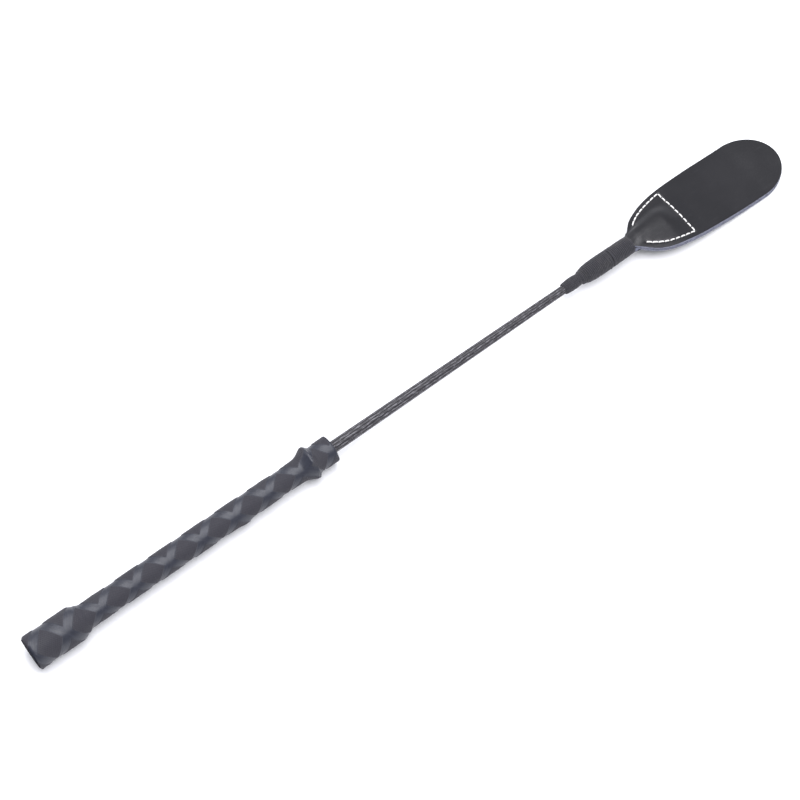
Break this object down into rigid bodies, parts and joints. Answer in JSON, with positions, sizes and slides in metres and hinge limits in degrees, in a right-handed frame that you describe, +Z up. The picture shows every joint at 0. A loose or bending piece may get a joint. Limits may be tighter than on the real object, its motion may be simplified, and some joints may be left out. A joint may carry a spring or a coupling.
{
  "type": "riding crop",
  "caption": "Short riding crop: rubber-sleeved handle with a pommel and guard ring, braid-covered rod, whipped neck and a stitched double-leather keeper.",
  "frame": {"origin": "middle of the crop's length and width, on the surface that it lies on", "axes": "+X along the crop from the butt to the keeper's tip, +Y across the keeper, +Z up, out of the keeper's top leather"},
  "size_m": [0.575, 0.0448, 0.0216],
  "materials": {
    "sleeve_rubber": "matte raised diamonds between satin bands",
    "knob_plastic": "matte",
    "core_wood": "turned, unvarnished",
    "rod_fibreglass": "pultruded, satin",
    "shaft_nylon": "tight lengthwise braid, satin",
    "keeper_leather": "smooth dyed hide with raw cut edges",
    "whipping_thread": "waxed cord, matte",
    "seam_thread": "heavy twisted polyester, matte"
  },
  "bodies": {
    "crop": {"fibreglass_rod": "rod_fibreglass", "shaft_braid": "shaft_nylon", "pommel_knob": "knob_plastic", "grip_core": "core_wood", "guard_ring": "knob_plastic", "front_collar": "knob_plastic", "grip_sleeve": "sleeve_rubber", "whipping_lead": "whipping_thread", "whipping_rear": "whipping_thread", "whipping_front": "whipping_thread", "keeper_top_root": "keeper_leather", "keeper_bottom_root": "keeper_leather", "needle_thread": "seam_thread", "bobbin_thread": "seam_thread"},
    "tongue": {"keeper_top_tongue": "keeper_leather", "keeper_bottom_tongue": "keeper_leather"}
  },
  "joints": [
    {"name": "keeper_flex", "type": "hinge", "parent": "crop", "child": "tongue", "pos_m": [0.21653, 0, 0.00647], "axis": [0, 1, 0], "range_deg": [-45, 45], "stiffness_Nm_per_rad": 0.4}
  ]
}
